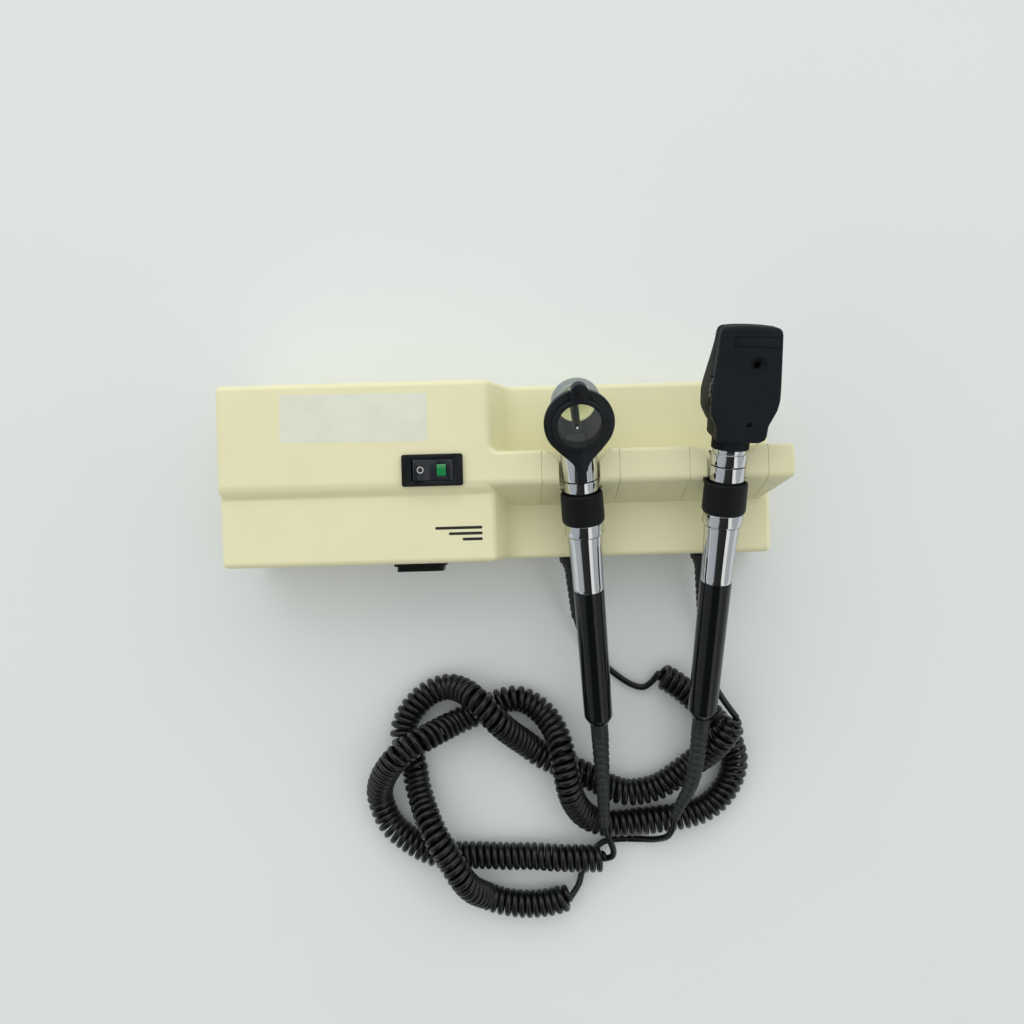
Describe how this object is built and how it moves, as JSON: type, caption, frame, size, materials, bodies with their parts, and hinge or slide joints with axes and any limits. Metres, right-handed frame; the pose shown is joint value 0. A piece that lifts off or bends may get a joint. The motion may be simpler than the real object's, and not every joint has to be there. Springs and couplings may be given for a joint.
{
  "type": "otoscope",
  "caption": "Wall-mount diagnostic set: cream transformer housing with rocker switch, an otoscope and an ophthalmoscope parked in its cradle bar, on black coiled cords.",
  "frame": {"origin": "centre of the four wall screws on the rear mounting face", "axes": "+X to the right seen from the front, +Y up the wall towards the instrument heads, +Z out of the wall towards the user"},
  "size_m": [0.3403, 0.3725, 0.1278],
  "materials": {
    "cream_plastic": "fine moulded texture, satin",
    "galvanised_steel": "plated sheet",
    "label_film": "blank pale film, satin",
    "black_plastic": "fine satin moulding",
    "black_gloss_plastic": "polished moulding",
    "green_lens": "clear green lens",
    "brass_contacts": "plain",
    "core_steel": "varnished laminations",
    "ivory_nylon": "nylon",
    "copper_wire": "enamelled copper winding",
    "board_laminate": "glass-fibre board",
    "board_components": "moulded components",
    "steel_screws": "plain",
    "cord_rubber": "satin cable sheath",
    "chrome_plate": "polished chrome",
    "ring_rubber": "matt, finely ribbed",
    "track_ceramic": "resistor former",
    "optic_glass": "polished lens",
    "dark_grey_plastic": "satin moulding",
    "smoke_plastic": "light grey translucent moulding",
    "lamp_metal": "lamp base"
  },
  "bodies": {
    "wall_unit": {"rear_chassis": "galvanised_steel", "front_housing": "cream_plastic", "cradle_a": "cream_plastic", "cradle_b": "cream_plastic", "bar_spacer": "cream_plastic", "bar_end_cap": "cream_plastic", "label_plate": "label_film", "switch_housing": "black_plastic", "switch_terminals": "brass_contacts", "power_inlet": "black_plastic", "inlet_pins": "brass_contacts", "transformer_core": "core_steel", "transformer_bobbin": "ivory_nylon", "transformer_winding": "copper_wire", "circuit_board": "board_laminate", "board_parts": "board_components", "cover_screws": "steel_screws", "cradle_switches": "black_plastic", "cord_bushes": "black_plastic", "oto_cord": "cord_rubber", "opht_cord": "cord_rubber"},
    "power_rocker": {"switch_rocker": "black_gloss_plastic", "switch_lamp": "green_lens"},
    "lift_lever_a": {"cradle_lever_a": "ivory_nylon"},
    "lift_lever_b": {"cradle_lever_b": "ivory_nylon"},
    "oto_handle": {"oto_neck": "chrome_plate", "oto_barrel": "chrome_plate", "oto_grip": "black_gloss_plastic", "oto_boot": "cord_rubber", "oto_contact_block": "brass_contacts", "oto_rheostat_track": "track_ceramic"},
    "oto_dimmer": {"oto_rheostat_ring": "ring_rubber"},
    "oto_head": {"oto_socket": "chrome_plate", "oto_lens_frame": "black_plastic", "oto_lens_pivot": "steel_screws", "oto_light_arm": "dark_grey_plastic", "oto_carrier": "dark_grey_plastic", "oto_lamp": "lamp_metal"},
    "oto_lens_swing": {"oto_lens_cell": "black_plastic", "oto_lens": "optic_glass"},
    "oto_tip": {"oto_speculum": "smoke_plastic"},
    "opht_handle": {"opht_neck": "chrome_plate", "opht_barrel": "chrome_plate", "opht_grip": "black_gloss_plastic", "opht_boot": "cord_rubber", "opht_contact_block": "brass_contacts", "opht_rheostat_track": "track_ceramic"},
    "opht_dimmer": {"opht_rheostat_ring": "ring_rubber"},
    "opht_head": {"opht_socket": "chrome_plate", "opht_user_shell": "black_plastic", "opht_patient_shell": "black_plastic", "opht_brow_rest": "cord_rubber", "opht_eyepiece": "black_plastic", "opht_disc_axle": "steel_screws", "opht_prism": "optic_glass", "opht_lamp": "lamp_metal"},
    "opht_disc": {"opht_lens_disc": "black_plastic", "opht_lenses": "optic_glass"},
    "opht_aperture": {"opht_aperture_dial": "black_plastic"}
  },
  "joints": [
    {"name": "power_switch_rock", "type": "hinge", "parent": "wall_unit", "child": "power_rocker", "pos_m": [-0.0446, 0.001, 0.0825], "axis": [0, 1, 0], "range_deg": [-14, 0]},
    {"name": "otoscope_lift", "type": "slide", "parent": "wall_unit", "child": "oto_handle", "axis": [0.0232, -0.3081, 0.9511], "range_m": [0, 0.12], "deforming": ["oto_cord"]},
    {"name": "ophthalmoscope_lift", "type": "slide", "parent": "wall_unit", "child": "opht_handle", "axis": [-0.0162, -0.3086, 0.9511], "range_m": [0, 0.12], "deforming": ["opht_cord"]},
    {"name": "lift_lever_a_tip", "type": "hinge", "parent": "wall_unit", "child": "lift_lever_a", "pos_m": [0.0415, -0.006, 0.0624], "axis": [1, 0, 0], "range_deg": [0, 9]},
    {"name": "lift_lever_b_tip", "type": "hinge", "parent": "wall_unit", "child": "lift_lever_b", "pos_m": [0.1274, -0.006, 0.0684], "axis": [1, 0, 0], "range_deg": [0, 9]},
    {"name": "otoscope_dimmer_turn", "type": "hinge", "parent": "oto_handle", "child": "oto_dimmer", "pos_m": [0.0433, -0.02249, 0.07618], "axis": [-0.0713, 0.9484, 0.309], "range_deg": [0, 150]},
    {"name": "otoscope_head_twist", "type": "hinge", "parent": "oto_handle", "child": "oto_head", "pos_m": [0.04209, -0.00637, 0.08144], "axis": [-0.0713, 0.9484, 0.309], "range_deg": [0, 30]},
    {"name": "otoscope_lens_swing", "type": "hinge", "parent": "oto_head", "child": "oto_lens_swing", "pos_m": [0.03975, 0.0395, 0.11947], "axis": [0.034, -0.4527, 0.891], "range_deg": [0, 110]},
    {"name": "speculum_twist", "type": "hinge", "parent": "oto_head", "child": "oto_tip", "pos_m": [0.0404, 0.03879, 0.08373], "axis": [0.034, -0.4527, 0.891], "range_deg": [0, 60]},
    {"name": "ophthalmoscope_dimmer_turn", "type": "hinge", "parent": "opht_handle", "child": "opht_dimmer", "pos_m": [0.12633, -0.01882, 0.08339], "axis": [0.0498, 0.9498, 0.309], "range_deg": [0, 150]},
    {"name": "ophthalmoscope_head_twist", "type": "hinge", "parent": "opht_handle", "child": "opht_head", "pos_m": [0.12728, -0.00078, 0.08926], "axis": [0.0498, 0.9498, 0.309], "range_deg": [0, 30]},
    {"name": "lens_disc_turn", "type": "hinge", "parent": "opht_head", "child": "opht_disc", "pos_m": [0.13175, 0.03858, 0.11157], "axis": [-0.0162, -0.3086, 0.9511], "continuous": true},
    {"name": "aperture_dial_turn", "type": "hinge", "parent": "opht_head", "child": "opht_aperture", "pos_m": [0.12915, 0.03486, 0.08298], "axis": [-0.0162, -0.3086, 0.9511], "continuous": true}
  ],
  "couplings": [
    {"joint": "lift_lever_a_tip", "follows": "otoscope_lift", "rad_per_m": 1.3},
    {"joint": "lift_lever_b_tip", "follows": "ophthalmoscope_lift", "rad_per_m": 1.3}
  ]
}
